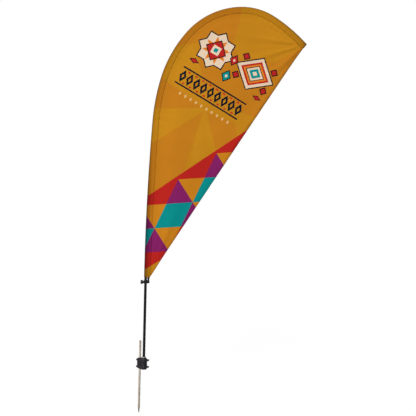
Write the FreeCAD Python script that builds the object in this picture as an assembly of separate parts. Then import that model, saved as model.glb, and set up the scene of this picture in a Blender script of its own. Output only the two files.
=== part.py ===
"""Teardrop flag on a ground spike.

A double-sided fabric sail in teardrop shape is carried by a sectional mast that
is bowed over inside a sewn sleeve. The mast's foot slips over a spindle that
turns in a two-piece clamp bracket, and the bracket grips a pointed steel stake.
A screw collar on the mast pulls the sail's lower corner down by a webbing strap.

Row frame: millimetres, +Z up. The origin is on the stake's axis at ground level.
The sail lies in a plane parallel to XZ, through the mast's axis. The bracket
stands turned about the stake by BRACKET_YAW, so the mast's axis is in front of
and beside the stake's.
"""
import FreeCAD, Part
import math
import os

os.makedirs("parts", exist_ok=True)
V = FreeCAD.Vector
X, Y, Z = V(1, 0, 0), V(0, 1, 0), V(0, 0, 1)

# ---------------------------------------------------------------- dimensions
# stake
STAKE_R = 6.35            # 12.7 mm round bar
STAKE_TIP_Z = -253.0
STAKE_POINT_L = 32.0
STAKE_TOP_Z = 179.0
MARK_Z0, MARK_Z1, MARK_DEPTH = 2.0, 4.0, 0.45   # driving-depth ring

# bracket, in its own axes: u from stake to mast, v across, z up
BRACKET_YAW = -28.0
AXIS_SPACING = 27.5
BODY_R, BODY_R_FAR = 17.0, 20.2     # about the stake and about the mast
RIM = 1.5                           # how far the clamp plates stand out from the body
SPLIT_GAP = 0.3           # half the gap between the two clamp halves
STAKE_BORE_R = 6.43
BOLT_U = (-15.5, 51.5)
BOLT_Z = (24.0, 64.0)
EAR_R = 6.5
EAR_V = 8.0
BOLT_R, BOLT_HOLE_R = 3.0, 3.2

# spindle and its bearings
SPINDLE_R = 6.35
SPINDLE_FLANGE_R = 11.5
SPINDLE_FLANGE_Z0, SPINDLE_FLANGE_Z1 = 81.2, 84.4
SPINDLE_TOP_Z = 187.0
BUSH_BORE_R = 6.43
BUSH_R = 9.95
BUSH_SEAT_R = 10.0

# mast: outer radius, bore radius and length of each section
MAST_FOOT_Z = 84.45
SAIL_FOOT_Z = 561.0
MAST_R = (8.1, 7.0, 5.0, 3.4)
MAST_BORE = (6.7, 5.8, 3.2, 0.0)
SECTION_1_L = 690.0
SECTION_3_L = 700.0
TIP_CLEAR = 13.0          # from the mast's end to the sleeve's end

# the bow of the mast: radius to the sail's outer edge and angle of each arc
OUTER_OFFSET = 9.6        # sail's outer edge from the mast's centre line
ARCS = ((15070.0, 3.56), (1266.8, 11.62), (746.0, 25.77),
        (444.0, 46.16), (357.3, 34.85), (979.1, 14.78))

# sail
SEAM = 30.4               # mast centre line to the sleeve's seam
FACE_T = 0.4              # each printed face
LINER_T = 0.3             # opaque liner between the faces
SLEEVE_WALL = 0.6
HEM_W = 12.0
LEECH_START = (25.1, 561.0)    # relative to the mast's axis
LEECH_HEADING = 30.67          # degrees from upright at the start
LEECH_ARCS = ((7895.0, 1.636), (200000.0, 0.3725), (1807.6, 5.12))

# collar and strap, relative to the mast's axis
COLLAR_Z0, COLLAR_Z1 = 524.0, 544.0
COLLAR_R, COLLAR_BORE_R = 11.0, 8.18
SCREW_Z = 532.0
SCREW_R = 2.9
PEG_Z = 533.0
PEG_R = 6.0
LOOP_R = 6.7              # inside of the strap's loop round the peg
PEG_END = 23.4
# the strap's two edges, (x, z): gathered at the peg, full width at the sail, clear of the collar and the peg's disc
STRAP_IN = ((11.4, 520.0), (11.4, 548.0), (9.6, 554.0), (9.6, 564.0))
STRAP_OUT = ((21.0, 520.0), (21.0, 541.5), (24.96, 564.0))
STRAP_TOP_Z = 560.8

YAW = math.radians(BRACKET_YAW)
MAST_X = AXIS_SPACING * math.cos(YAW)
MAST_Y = AXIS_SPACING * math.sin(YAW)


# ---------------------------------------------------------------- helpers
def save(name, shape):
    solids = shape.Solids
    out = solids[0] if len(solids) == 1 else Part.makeCompound(solids)
    if not out.isValid():
        print("NOT VALID", name)
    out.exportStep("parts/%s.step" % name)
    b = out.BoundBox
    print("%-22s solids %d vol %.0f  x %.1f..%.1f y %.1f..%.1f z %.1f..%.1f" % (
        name, len(solids), out.Volume, b.XMin, b.XMax, b.YMin, b.YMax, b.ZMin, b.ZMax))


def cyl(r, z0, z1, x=0.0, y=0.0):
    return Part.makeCylinder(r, z1 - z0, V(x, y, z0), Z)


def cyl_x(r, x0, x1, y=0.0, z=0.0):
    return Part.makeCylinder(r, x1 - x0, V(x0, y, z), X)


def cyl_y(r, y0, y1, x=0.0, z=0.0):
    return Part.makeCylinder(r, y1 - y0, V(x, y0, z), Y)


def box(x0, x1, y0, y1, z0, z1):
    return Part.makeBox(x1 - x0, y1 - y0, z1 - z0, V(x0, y0, z0))


def horizontal_edges(shape, z):
    return [e for e in shape.Edges
            if abs(e.BoundBox.ZMin - z) < 1e-4 and abs(e.BoundBox.ZMax - z) < 1e-4]


def stadium(r, r1, z0, z1, u1, round_top=0.0, round_bottom=0.0):
    """An upright slab with round ends, of radius r about u = 0 and r1 about u = u1."""
    nu = (r - r1) / u1
    nv = math.sqrt(1.0 - nu * nu)
    a = Part.LineSegment(V(r * nu, -r * nv, z0), V(u1 + r1 * nu, -r1 * nv, z0)).toShape()
    b = Part.Arc(V(u1 + r1 * nu, -r1 * nv, z0), V(u1 + r1, 0, z0), V(u1 + r1 * nu, r1 * nv, z0)).toShape()
    c = Part.LineSegment(V(u1 + r1 * nu, r1 * nv, z0), V(r * nu, r * nv, z0)).toShape()
    d = Part.Arc(V(r * nu, r * nv, z0), V(-r, 0, z0), V(r * nu, -r * nv, z0)).toShape()
    s = Part.Face(Part.Wire([a, b, c, d])).extrude(V(0, 0, z1 - z0))
    if round_top:
        s = s.makeFillet(round_top, horizontal_edges(s, z1))
    if round_bottom:
        s = s.makeFillet(round_bottom, horizontal_edges(s, z0))
    return s


def boss(r, z0, z1, u, round_top=0.0, round_bottom=0.0):
    s = cyl(r, z0, z1, u)
    if round_top:
        s = s.makeFillet(round_top, horizontal_edges(s, z1))
    if round_bottom:
        s = s.makeFillet(round_bottom, horizontal_edges(s, z0))
    return s


def ear(u, z, inner):
    """A bolt ear with a rounded end, joined to the body at u = inner."""
    c = cyl_y(EAR_R, -EAR_V, EAR_V, u, z)
    w = box(min(u, inner), max(u, inner), -EAR_V, EAR_V, z - EAR_R, z + EAR_R)
    s = c.fuse(w).removeSplitter()
    edges = [e for e in s.Edges if (abs(e.BoundBox.YMin - e.BoundBox.YMax) < 1e-4)
             and abs(e.BoundBox.XMax - inner) > 0.01 and abs(e.BoundBox.XMin - inner) > 0.01]
    edges = [e for e in s.Edges if e.Curve.TypeId == "Part::GeomCircle"
             and abs(e.BoundBox.YMin - e.BoundBox.YMax) < 1e-4]
    return s.makeFillet(1.6, edges)


def to_row(shape):
    s = shape.copy()
    s.rotate(V(0, 0, 0), Z, BRACKET_YAW)
    return s


def on_mast(shape):
    s = shape.copy()
    s.translate(V(MAST_X, MAST_Y, 0))
    return s


def hexagon(af, y0, y1, x, z):
    r = af / math.sqrt(3)
    pts = [V(x + r * math.cos(math.radians(60 * i + 30)), y0,
             z + r * math.sin(math.radians(60 * i + 30))) for i in range(6)]
    return Part.Face(Part.makePolygon(pts + [pts[0]])).extrude(V(0, y1 - y0, 0))


# ---------------------------------------------------------------- mast centre line
class Run:
    """One run of the centre line: straight, or an arc that turns towards +X."""

    def __init__(self, p, a, length, radius):
        self.p, self.a, self.length, self.radius = p, a, length, radius

    def at(self, s):
        if self.radius is None:
            return self.p + V(math.sin(self.a), 0, math.cos(self.a)) * s, self.a
        b = self.a + s / self.radius
        c = self.p + V(math.cos(self.a), 0, -math.sin(self.a)) * self.radius
        return c - V(math.cos(b), 0, -math.sin(b)) * self.radius, b


runs = [Run(V(0, 0, MAST_FOOT_Z), 0.0, SAIL_FOOT_Z - MAST_FOOT_Z, None)]
for radius, degrees in ARCS:
    p, a = runs[-1].at(runs[-1].length)
    rc = radius - OUTER_OFFSET
    runs.append(Run(p, a, rc * math.radians(degrees), rc))
TOTAL = sum(r.length for r in runs)
FOOT_S = runs[0].length


def state(s):
    for r in runs:
        if s <= r.length + 1e-9:
            return r.at(s)
        s -= r.length
    r = runs[-1]
    return r.at(r.length + s)


def sweep(profile, s0, s1):
    """Sweeps profile(place, inward) along the centre line from s0 to s1."""
    pieces, start = [], 0.0
    for i, r in enumerate(runs):
        lo, hi = max(s0, start), min(s1, start + r.length)
        if i == len(runs) - 1:
            hi = s1
        if hi - lo > 1e-6:
            p, a = r.at(lo - start)
            inward = V(math.cos(a), 0, -math.sin(a))
            face = profile(p, inward)
            if r.radius is None:
                pieces.append(face.extrude(V(math.sin(a), 0, math.cos(a)) * (hi - lo)))
            else:
                pieces.append(face.revolve(p + inward * r.radius, Y,
                                           math.degrees((hi - lo) / r.radius)))
        start += r.length
    out = pieces[0]
    if len(pieces) > 1:
        out = out.fuse(pieces[1:])
    return out


def ring(ro, ri):
    def profile(p, inward):
        t = inward.cross(Y)
        f = Part.Face(Part.Wire(Part.Circle(p, t, ro).toShape()))
        if ri > 0:
            f = f.cut(Part.Face(Part.Wire(Part.Circle(p, t, ri).toShape())))
        return f.Faces[0]
    return profile


def drop_face(p, inward, side, r, e, t):
    """A drop-shaped face: round with radius r about p, drawn out to inward = e, half thickness t there."""
    d, base = math.hypot(e, t), math.atan2(t, e)
    th = base + math.acos(r / d)
    q = lambda n, y: p + inward * n + side * y
    up, dn = q(r * math.cos(th), r * math.sin(th)), q(r * math.cos(th), -r * math.sin(th))
    edges = [Part.LineSegment(q(e, t), up).toShape(),
             Part.Arc(up, q(-r, 0), dn).toShape(),
             Part.LineSegment(dn, q(e, -t)).toShape()]
    if t > 1e-6:
        edges.append(Part.LineSegment(q(e, -t), q(e, t)).toShape())
    return Part.Face(Part.Wire(edges))


def drop_ring(ro, eo, to, ri=None, ei=None, ti=0.0):
    def profile(p, inward):
        f = drop_face(p, inward, Y, ro, eo, to)
        if ri is not None:
            f = f.cut(drop_face(p, inward, Y, ri, ei, ti))
        return f.Faces[0]
    return profile


# ---------------------------------------------------------------- ground stake
stake = cyl(STAKE_R, STAKE_TIP_Z + STAKE_POINT_L, STAKE_TOP_Z)
stake = stake.makeChamfer(1.2, horizontal_edges(stake, STAKE_TOP_Z))
point = Part.makeCone(1.6, STAKE_R, STAKE_POINT_L, V(0, 0, STAKE_TIP_Z), Z)
stake = stake.fuse(point)
stake = stake.cut(cyl(STAKE_R + 1, MARK_Z0, MARK_Z1).cut(cyl(STAKE_R - MARK_DEPTH, MARK_Z0 - 1, MARK_Z1 + 1)))
save("ground_spike", stake)

# ---------------------------------------------------------------- bracket halves
U = AXIS_SPACING
body = stadium(BODY_R, BODY_R_FAR, 16.0, 73.0, U, 1.5, 1.5)
plate_low = stadium(BODY_R + RIM, BODY_R_FAR + RIM, BOLT_Z[0] - EAR_R, BOLT_Z[0] + EAR_R, U, 1.8, 1.8)
plate_high = stadium(BODY_R + RIM, BODY_R_FAR + RIM, BOLT_Z[1] - EAR_R, BOLT_Z[1] + EAR_R, U, 1.8, 1.8)
adds = [plate_low, plate_high,
        boss(14.6, 70.0, 80.0, U, 1.2, 0.0),
        boss(18.4, 8.0, 20.0, U, 0.0, 5.0),
        boss(11.0, 70.0, 76.5, 0.0, 1.2, 0.0),
        boss(11.0, 12.0, 20.0, 0.0, 0.0, 1.5)]
for bz in BOLT_Z:
    adds.append(ear(BOLT_U[0], bz, -4.0))
    adds.append(ear(BOLT_U[1], bz, U + 4.0))
for ru in (4.5, U / 2, U - 4.5):                     # stiffening ribs on both sides
    rv = BODY_R + (BODY_R_FAR - BODY_R) * ru / U + 1.0
    adds.append(box(ru - 1.3, ru + 1.3, -rv, rv, BOLT_Z[0], BOLT_Z[1]))
bracket = body.fuse(adds).removeSplitter()
cuts = [cyl(STAKE_BORE_R, 0.0, 90.0),
        cyl(BUSH_SEAT_R, 60.0, 90.0, U),
        cyl(12.5, 78.0, 90.0, U),
        cyl(7.4, 30.0, 61.0, U),
        cyl(BUSH_SEAT_R, 21.0, 36.0, U),
        cyl(10.8, 13.0, 21.0, U)]
for bu in BOLT_U:
    for bz in BOLT_Z:
        cuts.append(cyl_y(BOLT_HOLE_R, -30.0, 30.0, bu, bz))
        cuts.append(cyl_y(6.7, -30.0, -EAR_V, bu, bz))      # spot faces under the heads and washers
        cuts.append(cyl_y(6.7, EAR_V, 30.0, bu, bz))
bracket = bracket.cut(Part.makeCompound([c for c in cuts[:1]]))
for c in cuts[1:]:
    bracket = bracket.cut(c)
save("bracket_front_half", to_row(bracket.common(box(-60, 90, -60, -SPLIT_GAP, 0, 100))))
save("bracket_rear_half", to_row(bracket.common(box(-60, 90, SPLIT_GAP, 60, 0, 100))))

# ---------------------------------------------------------------- clamp fasteners
bolts, washers, nuts = [], [], []
for bu in BOLT_U:
    for bz in BOLT_Z:
        head = cyl_y(5.3, -EAR_V - 3.3, -EAR_V - 0.02, bu, bz)
        head = head.makeFillet(1.6, [e for e in head.Edges if abs(e.BoundBox.YMax + EAR_V + 3.3) < 1e-4])
        b = head.fuse(cyl_y(BOLT_R, -EAR_V - 0.5, 16.4, bu, bz))
        b = b.cut(hexagon(4.0, -EAR_V - 3.4, -EAR_V - 1.3, bu, bz))
        bolts.append(b)
        washers.append(cyl_y(6.0, EAR_V + 0.02, EAR_V + 1.6, bu, bz).cut(cyl_y(3.2, 0, 30, bu, bz)))
        n = hexagon(10.0, EAR_V + 1.65, EAR_V + 6.65, bu, bz)
        n = n.common(Part.makeSphere(9.2, V(bu, EAR_V + 1.6, bz)))
        nuts.append(n.cut(cyl_y(3.05, 0, 30, bu, bz)))
save("clamp_bolts", to_row(Part.makeCompound(bolts)))
save("clamp_washers", to_row(Part.makeCompound(washers)))
save("clamp_nuts", to_row(Part.makeCompound(nuts)))

# ---------------------------------------------------------------- spindle and bearings
upper = cyl(BUSH_R, 60.05, 80.0).fuse(cyl(12.4, 78.05, 80.0)).removeSplitter().cut(cyl(BUSH_BORE_R, 50, 90))
lower = cyl(BUSH_R, 21.05, 35.95).cut(cyl(BUSH_BORE_R, 10, 50))
save("spindle_upper_bush", on_mast(upper))
save("spindle_lower_bush", on_mast(lower))
save("thrust_washer", on_mast(cyl(11.0, 80.05, 81.1).cut(cyl(6.5, 79, 82))))
flange = cyl(SPINDLE_FLANGE_R, SPINDLE_FLANGE_Z0, SPINDLE_FLANGE_Z1)
flange = flange.makeFillet(0.8, horizontal_edges(flange, SPINDLE_FLANGE_Z1))
shaft = cyl(SPINDLE_R, 15.0, SPINDLE_TOP_Z)
shaft = shaft.makeChamfer(1.5, horizontal_edges(shaft, SPINDLE_TOP_Z))
spindle = shaft.fuse(flange).removeSplitter()
spindle = spindle.cut(cyl(9.0, 19.1, 20.5).cut(cyl(5.2, 19.0, 21.0)))
save("spindle", on_mast(spindle))
clip = cyl(9.5, 19.2, 20.4).cut(cyl(5.3, 19, 21)).cut(box(0, 12, -3.6, 3.6, 19, 21))
save("retaining_clip", on_mast(clip))

# ---------------------------------------------------------------- mast sections
J1 = SECTION_1_L
J2 = FOOT_S + runs[1].length               # the second joint is where the bow starts
J3 = J2 + SECTION_3_L
END = TOTAL - TIP_CLEAR
save("mast_section_1", on_mast(sweep(ring(MAST_R[0], MAST_BORE[0]), 0.0, J1)))
save("mast_section_2", on_mast(sweep(ring(MAST_R[1], MAST_BORE[1]), J1 + 1.5, J2)))
save("mast_section_3", on_mast(sweep(ring(MAST_R[2], MAST_BORE[2]), J2 + 2.0, J3)))
save("mast_section_4", on_mast(sweep(ring(MAST_R[3], 0.0), J3 + 2.0, END)))
print("section lengths", J1, J2 - J1 - 1.5, J3 - J2 - 2.0, END - J3 - 2.0, "centre line", TOTAL)

# ferrule 1: a plug in both tubes with a locating shoulder between them
f1 = sweep(ring(6.6, 4.6), J1 - 55.0, J1 + 0.1)
f1 = f1.fuse(sweep(ring(7.9, 4.6), J1 + 0.1, J1 + 1.4))
f1 = f1.fuse(sweep(ring(5.7, 4.6), J1 + 1.4, J1 + 55.0))
save("mast_ferrule_1", on_mast(f1))
# ferrule 2: a plug in the tube below and a cup round the rod above
f2 = sweep(ring(5.7, 0.0), J2 - 50.0, J2 + 0.1)
f2 = f2.fuse(sweep(ring(6.9, 0.0), J2 + 0.1, J2 + 1.9))
f2 = f2.fuse(sweep(ring(6.4, 5.1), J2 + 1.9, J2 + 45.0))
save("mast_ferrule_2", on_mast(f2))
# ferrule 3: a sleeve over both rods
f3 = sweep(ring(6.2, 5.1), J3 - 42.0, J3 + 0.1)
f3 = f3.fuse(sweep(ring(6.2, 0.0), J3 + 0.1, J3 + 1.9))
f3 = f3.fuse(sweep(ring(6.2, 3.5), J3 + 1.9, J3 + 42.0))
save("mast_ferrule_3", on_mast(f3))
cap = sweep(ring(5.6, 3.5), END - 18.0, END + 0.1).fuse(sweep(ring(5.6, 0.0), END + 0.1, END + 4.0))
pe, ae = state(END + 4.0)
cap = cap.fuse(Part.makeSphere(5.6, pe).common(
    Part.makeBox(60, 60, 30, V(-30, -30, 0)).transformed(
        FreeCAD.Placement(pe, FreeCAD.Rotation(Y, math.degrees(ae))).toMatrix())))
save("mast_tip_cap", on_mast(cap))


# ---------------------------------------------------------------- sail
def left_of_leech(off, y0, y1):
    """A slab of everything on the sail's side of the leech moved outwards by off."""
    a = math.radians(LEECH_HEADING)
    p = V(LEECH_START[0] + off * math.cos(a), 0, LEECH_START[1] - off * math.sin(a))
    first = p - V(math.sin(a), 0, math.cos(a)) * 200.0
    edges = [Part.LineSegment(first, p).toShape()]
    for radius, degrees in LEECH_ARCS:
        # the leech is hollow, so its centre lies outside the sail
        r = Run(p, a, (radius - off) * math.radians(degrees), radius - off)
        m, q = r.at(r.length / 2)[0], r.at(r.length)
        edges.append(Part.Arc(p, m, q[0]).toShape())
        p, a = q
    last = p + V(math.sin(a), 0, math.cos(a)) * 200.0
    edges += [Part.LineSegment(p, last).toShape(), Part.LineSegment(last, V(-1600, 0, 3500)).toShape(),
              Part.LineSegment(V(-1600, 0, 3500), V(-1600, 0, -1100)).toShape(),
              Part.LineSegment(V(-1600, 0, -1100), first).toShape()]
    f = Part.Face(Part.Wire(edges))
    f.translate(V(0, y0, 0))
    return f.extrude(V(0, y1 - y0, 0))


def inside_seam(off, y0, y1):
    """A slab of everything inside the curve that runs off from the mast's centre line."""
    edges, s = [], 0.0
    first = last = None
    for r in runs[1:]:
        pts = []
        for k in (0.0, 0.5, 1.0):
            p, a = r.at(r.length * k)
            pts.append(p + V(math.cos(a), 0, -math.sin(a)) * off)
        if first is None:
            first = pts[0]
        edges.append(Part.Arc(pts[0], pts[1], pts[2]).toShape())
        last = pts[2]
    p, a = runs[-1].at(runs[-1].length)
    beyond = last + V(math.sin(a), 0, math.cos(a)) * 150
    low = V(first.x + 400, 0, first.z - 60)
    below = V(first.x, 0, first.z - 60)
    edges += [Part.LineSegment(last, beyond).toShape(), Part.LineSegment(beyond, low).toShape(),
              Part.LineSegment(low, below).toShape(), Part.LineSegment(below, first).toShape()]
    f = Part.Face(Part.Wire(edges))
    f.translate(V(0, y0, 0))
    return f.extrude(V(0, y1 - y0, 0))


H = LINER_T / 2
layers = {"front_panel": (-H - FACE_T, -H), "blackout_liner": (-H, H), "back_panel": (H, H + FACE_T)}
for name, (y0, y1) in layers.items():
    save(name, on_mast(inside_seam(SEAM, y0, y1).common(left_of_leech(0.0, y0 - 1, y1 + 1))))
TH = H + FACE_T

# the hem is folded over the three layers along the leech
hem_zone = left_of_leech(0.45, -TH - 0.4, TH + 0.4).cut(left_of_leech(-HEM_W, -5, 5))
hem = hem_zone.common(inside_seam(SEAM + 0.3, -5, 5)).cut(left_of_leech(0.02, -TH, TH))
hem = max(hem.Solids, key=lambda s: s.Volume)
save("leech_hem", on_mast(hem))

# the sleeve carries the mast; its mouth is at the foot and it is trimmed by the leech
sleeve = sweep(drop_ring(OUTER_OFFSET, SEAM, TH, OUTER_OFFSET - SLEEVE_WALL, SEAM - 5.0), FOOT_S, TOTAL + 6.0)
sleeve = sleeve.common(left_of_leech(0.0, -20, 20))
sleeve = max(sleeve.Solids, key=lambda s: s.Volume)
save("pole_sleeve", on_mast(sleeve))

# the tip pocket lines the sleeve's end and closes it along the leech
lining = sweep(drop_ring(OUTER_OFFSET - SLEEVE_WALL - 0.08, SEAM - 6.5, 0.0,
                         OUTER_OFFSET - SLEEVE_WALL - 0.7, SEAM - 9.5, 0.0), TOTAL - 75.0, TOTAL + 14.0)
lining = lining.common(left_of_leech(0.6, -20, 20))
plug = sweep(drop_ring(OUTER_OFFSET, SEAM - 2.0, TH), TOTAL - 20.0, TOTAL + 14.0)
plug = plug.common(left_of_leech(1.4, -20, 20)).cut(left_of_leech(0.05, -30, 30))
pocket = lining.fuse(plug)
save("tip_pocket", on_mast(pocket))

# ---------------------------------------------------------------- collar, screw and strap
collar = cyl(COLLAR_R, COLLAR_Z0, COLLAR_Z1)
collar = collar.makeFillet(1.6, horizontal_edges(collar, COLLAR_Z0) + horizontal_edges(collar, COLLAR_Z1))
collar = collar.fuse([cyl_x(7.7, -15.5, -6.0, 0, SCREW_Z), cyl_x(PEG_R, 8.5, PEG_END - 0.5, 0, PEG_Z)])
disc = cyl_x(8.2, PEG_END - 2.0, PEG_END, 0, PEG_Z)
disc = disc.makeFillet(0.8, [e for e in disc.Edges if e.BoundBox.XMax - e.BoundBox.XMin < 1e-4])
collar = collar.fuse(disc).removeSplitter()
collar = collar.cut(cyl(COLLAR_BORE_R, 500, 570)).cut(cyl_x(4.55, -20.0, -9.4, 0, SCREW_Z))
collar = collar.cut(cyl_x(3.25, -10.0, -4.0, 0, SCREW_Z))
save("tension_collar", on_mast(collar))
insert = cyl_x(4.5, -15.45, -9.45, 0, SCREW_Z).cut(cyl_x(SCREW_R + 0.08, -20, 0, 0, SCREW_Z))
save("collar_insert", on_mast(insert))

# the pad on the screw's tip presses on the mast; it swivels on a stub and doesn't turn with the screw
pad = cyl_x(2.85, -9.7, -8.16, 0, SCREW_Z).cut(cyl_x(1.28, -10.0, -8.8, 0, SCREW_Z))
save("screw_pad", on_mast(pad))
screw = cyl_x(SCREW_R, -26.5, -9.78, 0, SCREW_Z).fuse(cyl_x(1.2, -10.0, -8.86, 0, SCREW_Z))
save("collar_screw", on_mast(screw.removeSplitter()))
grip = cyl_x(12.2, -30.0, -16.4, 0, SCREW_Z)
grip = grip.makeFillet(5.5, [e for e in grip.Edges if abs(e.BoundBox.XMax + 30.0) < 1e-4])
grip = grip.makeFillet(2.0, [e for e in grip.Edges if abs(e.BoundBox.XMin + 16.4) < 1e-4])
for i in range(6):
    t = math.radians(60 * i + 15)
    grip = grip.cut(cyl_x(5.2, -40.0, -10.0, 16.6 * math.cos(t), SCREW_Z + 16.6 * math.sin(t)))
grip = grip.fuse(cyl_x(9.8, -22.0, -16.1, 0, SCREW_Z)).removeSplitter()
grip = grip.cut(cyl_x(SCREW_R + 0.05, -26.6, 0, 0, SCREW_Z))
save("collar_knob", on_mast(grip))

strap_face = drop_face(V(0, 0, PEG_Z), Z, Y, LOOP_R + 1.2, STRAP_TOP_Z - PEG_Z, 1.3)
strap_face = strap_face.cut(drop_face(V(0, 0, PEG_Z), Z, Y, LOOP_R, STRAP_TOP_Z - 5.0 - PEG_Z, 0.0))
strap = strap_face.extrude(V(40, 0, 0))
lean = Part.makePolygon([V(x, -20, z) for x, z in STRAP_OUT + STRAP_IN[::-1] + STRAP_OUT[:1]])
strap = strap.common(Part.Face(lean).extrude(V(0, 40, 0)))
save("tension_strap", on_mast(strap))
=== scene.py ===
import math
import random

import bpy
import numpy as np
from mathutils import Matrix, Vector, noise
from mathutils.geometry import delaunay_2d_cdt


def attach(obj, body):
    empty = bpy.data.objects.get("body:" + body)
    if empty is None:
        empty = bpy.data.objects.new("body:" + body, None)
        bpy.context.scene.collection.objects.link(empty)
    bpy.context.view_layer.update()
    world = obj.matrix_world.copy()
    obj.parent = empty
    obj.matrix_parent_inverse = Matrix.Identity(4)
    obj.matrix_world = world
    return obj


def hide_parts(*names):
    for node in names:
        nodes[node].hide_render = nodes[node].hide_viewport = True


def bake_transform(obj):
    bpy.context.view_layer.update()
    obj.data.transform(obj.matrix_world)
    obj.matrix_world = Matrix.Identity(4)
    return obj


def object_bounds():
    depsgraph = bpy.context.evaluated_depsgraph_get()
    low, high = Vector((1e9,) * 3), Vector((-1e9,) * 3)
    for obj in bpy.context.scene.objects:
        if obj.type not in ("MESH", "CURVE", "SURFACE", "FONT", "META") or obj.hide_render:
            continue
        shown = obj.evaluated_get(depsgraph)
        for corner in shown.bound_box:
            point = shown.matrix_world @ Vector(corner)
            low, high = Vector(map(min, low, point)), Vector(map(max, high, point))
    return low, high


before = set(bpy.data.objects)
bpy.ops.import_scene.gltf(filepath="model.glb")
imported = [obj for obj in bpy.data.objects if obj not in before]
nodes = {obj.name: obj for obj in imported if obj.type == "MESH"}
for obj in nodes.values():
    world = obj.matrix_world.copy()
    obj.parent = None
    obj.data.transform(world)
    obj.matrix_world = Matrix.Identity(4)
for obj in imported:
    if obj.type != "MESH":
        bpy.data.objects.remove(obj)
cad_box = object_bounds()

random.seed(7)
scene = bpy.context.scene

# ------------------------------------------------------------------ the sail's plan, in metres
YAW = math.radians(-28.0)
MAST = Vector((0.0275 * math.cos(YAW), 0.0275 * math.sin(YAW), 0.0))
FOOT_Z = 0.561
OUTER = 0.0096
SEAM = 0.0304
ARCS = ((15.0700, 3.56), (1.2668, 11.62), (0.7460, 25.77), (0.4440, 46.16), (0.3573, 34.85), (0.9791, 14.78))
LEECH_START, LEECH_HEADING = (0.0251, 0.5610), 30.67
LEECH_ARCS = ((7.8950, 1.636), (200.0, 0.3725), (1.8076, 5.12))
HEM = 0.012
PATCH = 0.030

runs = []
p, a, s = np.array([0.0, FOOT_Z]), 0.0, 0.0
for radius, degrees in ARCS:
    r, turn = radius - OUTER, math.radians(degrees)
    c = p + np.array([math.cos(a), -math.sin(a)]) * r
    runs.append((c, r, a, a + turn, s))
    s, a = s + r * turn, a + turn
    p = c + np.array([-math.cos(a), math.sin(a)]) * r
LENGTH = s


def on_curve(s, n):
    """Plan points at s along the mast's centre line from the sail's foot, and n inwards from it."""
    s, n = np.broadcast_arrays(np.asarray(s, float), np.asarray(n, float))
    out = np.zeros(s.shape + (2,))
    for i, (c, r, a0, a1, s0) in enumerate(runs):
        m = (s >= s0 - 1e-9) if i else np.ones(s.shape, bool)
        b = a0 + (s - s0) / r
        x = c[0] - np.cos(b) * (r - n)
        z = c[1] + np.sin(b) * (r - n)
        out[m] = np.stack([x, z], -1)[m]
    return out


def to_curve(pts):
    """(s, n) of plan points near the mast."""
    pts = np.asarray(pts, float)
    best_s, best_n = np.zeros(len(pts)), np.full(len(pts), 9.0)
    for i, (c, r, a0, a1, s0) in enumerate(runs):
        d = pts - c
        rho = np.hypot(d[:, 0], d[:, 1])
        b = np.arctan2(d[:, 1], -d[:, 0])
        n = r - rho
        lo = a0 - (0.5 if i == 0 else 1e-6)
        hi = a1 + (0.5 if i == len(runs) - 1 else 1e-6)
        ok = (b >= lo) & (b <= hi) & (np.abs(n) < np.abs(best_n))
        best_s[ok], best_n[ok] = (s0 + (b - a0) * r)[ok], n[ok]
    return best_s, best_n


leech_runs = []
p, a, s = np.array(LEECH_START), math.radians(LEECH_HEADING), 0.0
for r, degrees in LEECH_ARCS:
    turn = math.radians(degrees)
    c = p + np.array([math.cos(a), -math.sin(a)]) * r
    leech_runs.append((c, r, a, a + turn, s))
    s, a = s + r * turn, a + turn
    p = c + np.array([-math.cos(a), math.sin(a)]) * r
LEECH_L = s


def to_leech(pts):
    """(length along the leech from the sail's foot, distance inwards from it). The leech is hollow."""
    pts = np.asarray(pts, float)
    best_s, best_d = np.zeros(len(pts)), np.full(len(pts), 9.0)
    for i, (c, r, a0, a1, s0) in enumerate(leech_runs):
        v = pts - c
        b = np.arctan2(v[:, 1], -v[:, 0])
        d = np.hypot(v[:, 0], v[:, 1]) - r
        lo = a0 - (0.5 if i == 0 else 1e-7)
        hi = a1 + (0.5 if i == len(leech_runs) - 1 else 1e-7)
        ok = (b >= lo) & (b <= hi) & (np.abs(d) < np.abs(best_d))
        best_s[ok], best_d[ok] = (s0 + (b - a0) * r)[ok], d[ok]
    return best_s, best_d


def leech_d(pts):
    return to_leech(pts)[1]


def leech_t(pts):
    """0 at the sail's foot, 1 at its tip."""
    return to_leech(pts)[0] / LEECH_L


def on_leech(t, d=0.0):
    """Plan points at a share t of the leech, and d inwards from it."""
    along = np.asarray(t, float) * LEECH_L
    out = np.zeros(along.shape + (2,))
    for i, (c, r, a0, a1, s0) in enumerate(leech_runs):
        m = (along >= s0 - 1e-9) if i else np.ones(along.shape, bool)
        b = a0 + (along - s0) / r
        out[m] = np.stack([c[0] - np.cos(b) * (r + d), c[1] + np.sin(b) * (r + d)], -1)[m]
    return out


def leech_out(q):
    """The direction out of the sail, across the leech, at a plan point on it."""
    along = to_leech(np.array([q]))[0][0]
    e = on_leech(np.array([along / LEECH_L]), -0.01)[0] - on_leech(np.array([along / LEECH_L]))[0]
    return e / np.linalg.norm(e)


# ------------------------------------------------------------------ the print
AMBER = (0.520, 0.218, 0.0095)
AMBER_2 = (0.522, 0.189, 0.0105)
AMBER_3 = (0.538, 0.230, 0.0098)
AMBER_4 = (0.560, 0.206, 0.0110)
RED = (0.470, 0.0170, 0.0130)
PURPLE = (0.222, 0.0140, 0.118)
TEAL = (0.0022, 0.255, 0.250)
INK = (0.0060, 0.0085, 0.016)
CREAM = (0.760, 0.590, 0.430)
SAND = (0.700, 0.440, 0.170)
ORANGE = (0.700, 0.190, 0.016)
COLOURS = [AMBER, AMBER_2, AMBER_3, AMBER_4, RED, PURPLE, TEAL, INK, CREAM, SAND, ORANGE]

layers = []          # (polygon, colour), the last one on top


def mm(*pts):
    return np.array(pts, float) / 1000.0


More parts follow.
